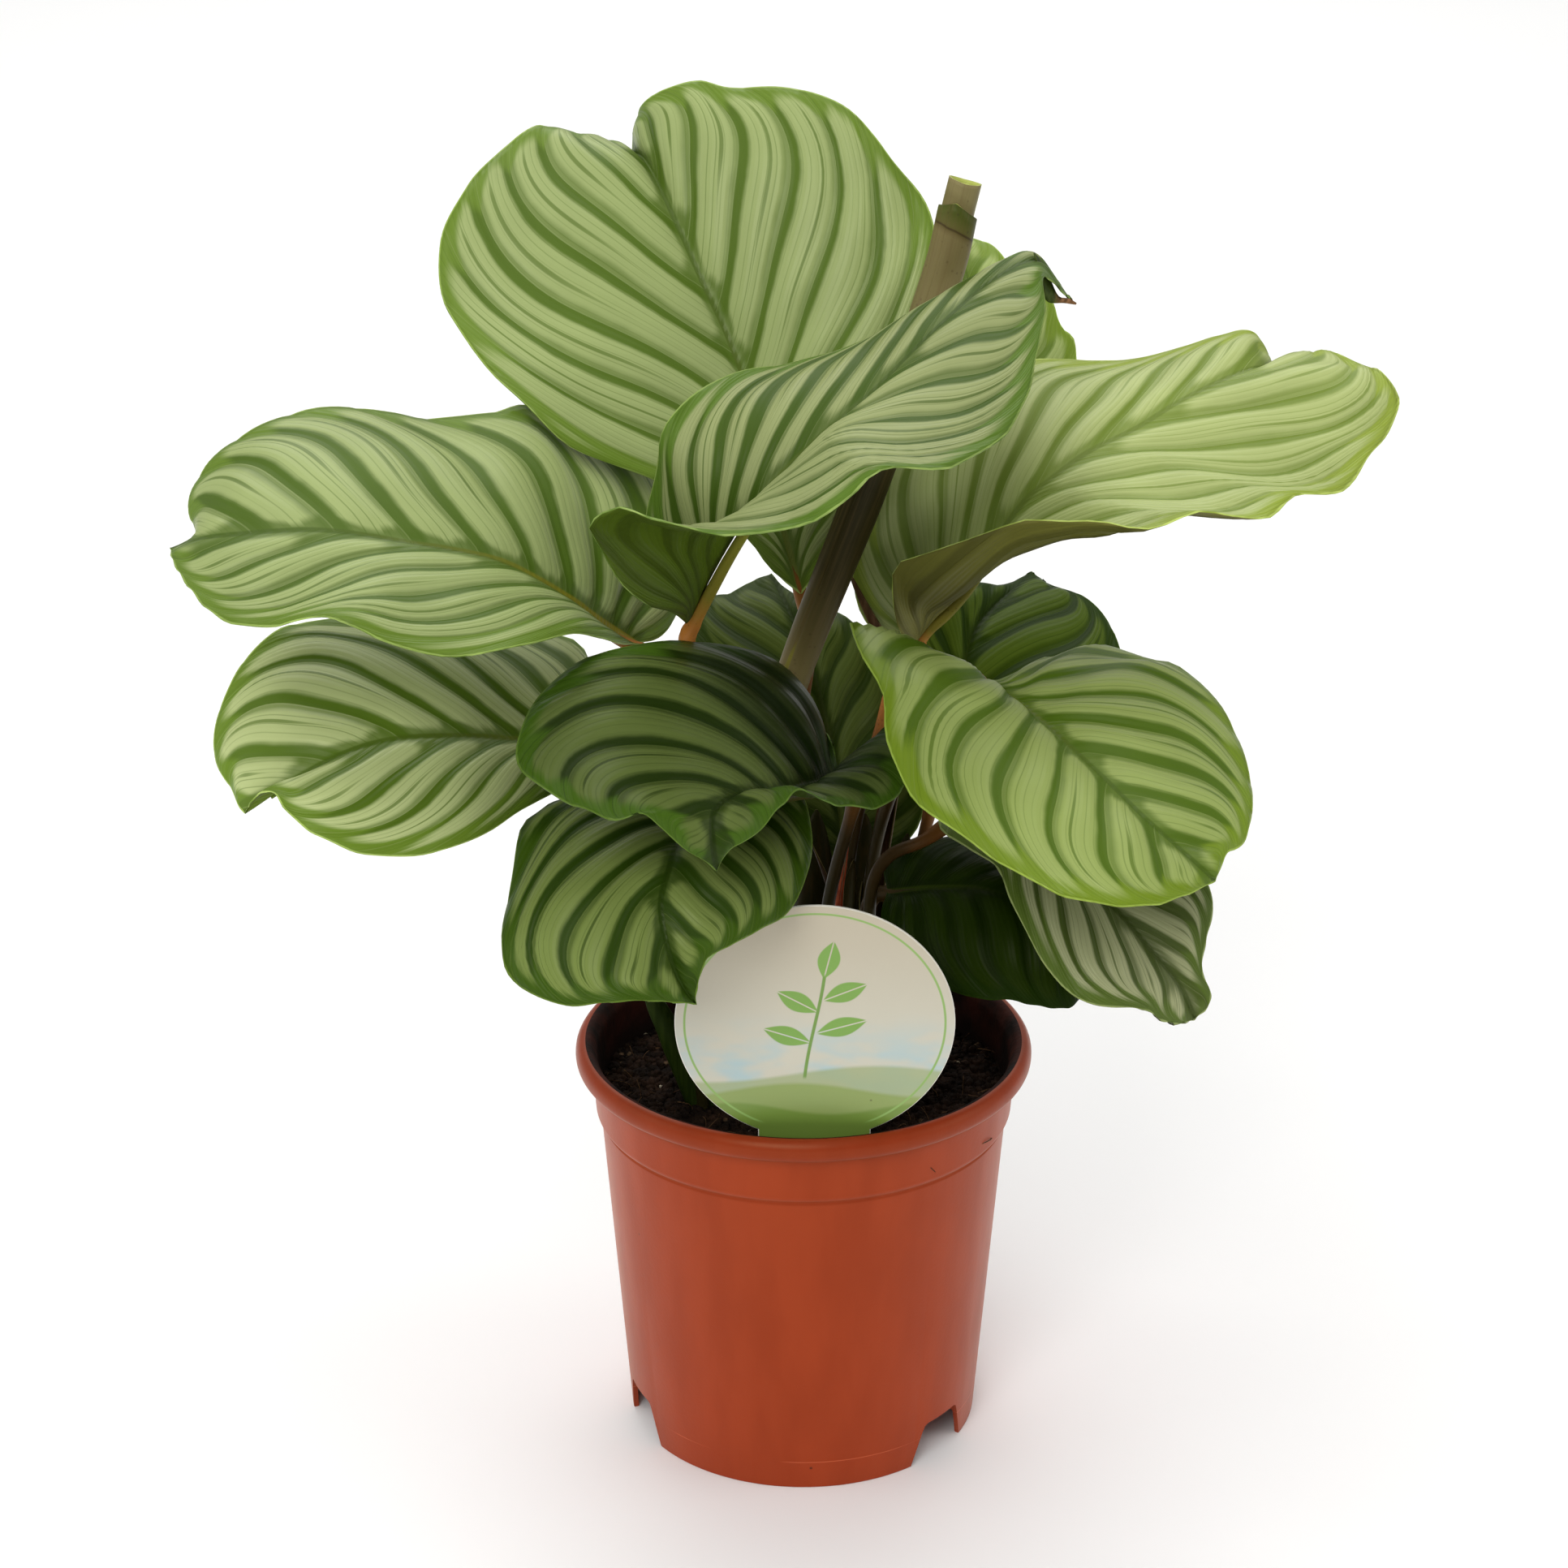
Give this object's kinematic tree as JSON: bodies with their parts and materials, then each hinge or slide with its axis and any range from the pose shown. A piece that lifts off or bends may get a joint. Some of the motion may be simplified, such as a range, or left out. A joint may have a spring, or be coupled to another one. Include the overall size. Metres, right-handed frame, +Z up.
{
  "type": "potted calathea orbifolia",
  "caption": "Potted prayer plant with broad, silvery striped leaves on thin stalks, a cut stem, soil and a round label in a round plastic nursery pot.",
  "frame": {"origin": "centre of the plant's bounding box, on the surface that the pot stands on, which is also the pot's axis", "axes": "+Z up along the pot's axis, -Y to the front where the label stands, +X to the right as seen from the front"},
  "size_m": [0.3472, 0.2345, 0.4074],
  "materials": {
    "leaf": "satin leaf, pale silvery green with dark green bands",
    "petiole": "satin stalk, red-brown to green",
    "stem_sheath": "dry, matte brown",
    "stem_core": "matte pale green, freshly cut",
    "pot": "satin terracotta-coloured moulded plastic",
    "soil": "rough dark potting soil",
    "label": "satin off-white card or plastic"
  },
  "bodies": {
    "root": {"leaf_top": "leaf", "petiole_top": "petiole", "leaf_front_high": "leaf", "petiole_front_high": "petiole", "leaf_left_high": "leaf", "petiole_left_high": "petiole", "leaf_left_low": "leaf", "petiole_left_low": "petiole", "leaf_front_cupped": "leaf", "petiole_front_cupped": "petiole", "leaf_right_middle": "leaf", "petiole_right_middle": "petiole", "leaf_right_high": "leaf", "petiole_right_high": "petiole", "leaf_back_high": "leaf", "petiole_back_high": "petiole", "leaf_back_right": "leaf", "petiole_back_right": "petiole", "leaf_front_low": "leaf", "petiole_front_low": "petiole", "leaf_right_low": "leaf", "petiole_right_low": "petiole", "leaf_right_inner": "leaf", "petiole_right_inner": "petiole", "leaf_back_low": "leaf", "petiole_back_low": "petiole", "cut_stem_sheath": "stem_sheath", "cut_stem_core": "stem_core", "pot": "pot", "soil": "soil", "plant_label": "label"}
  },
  "joints": []
}
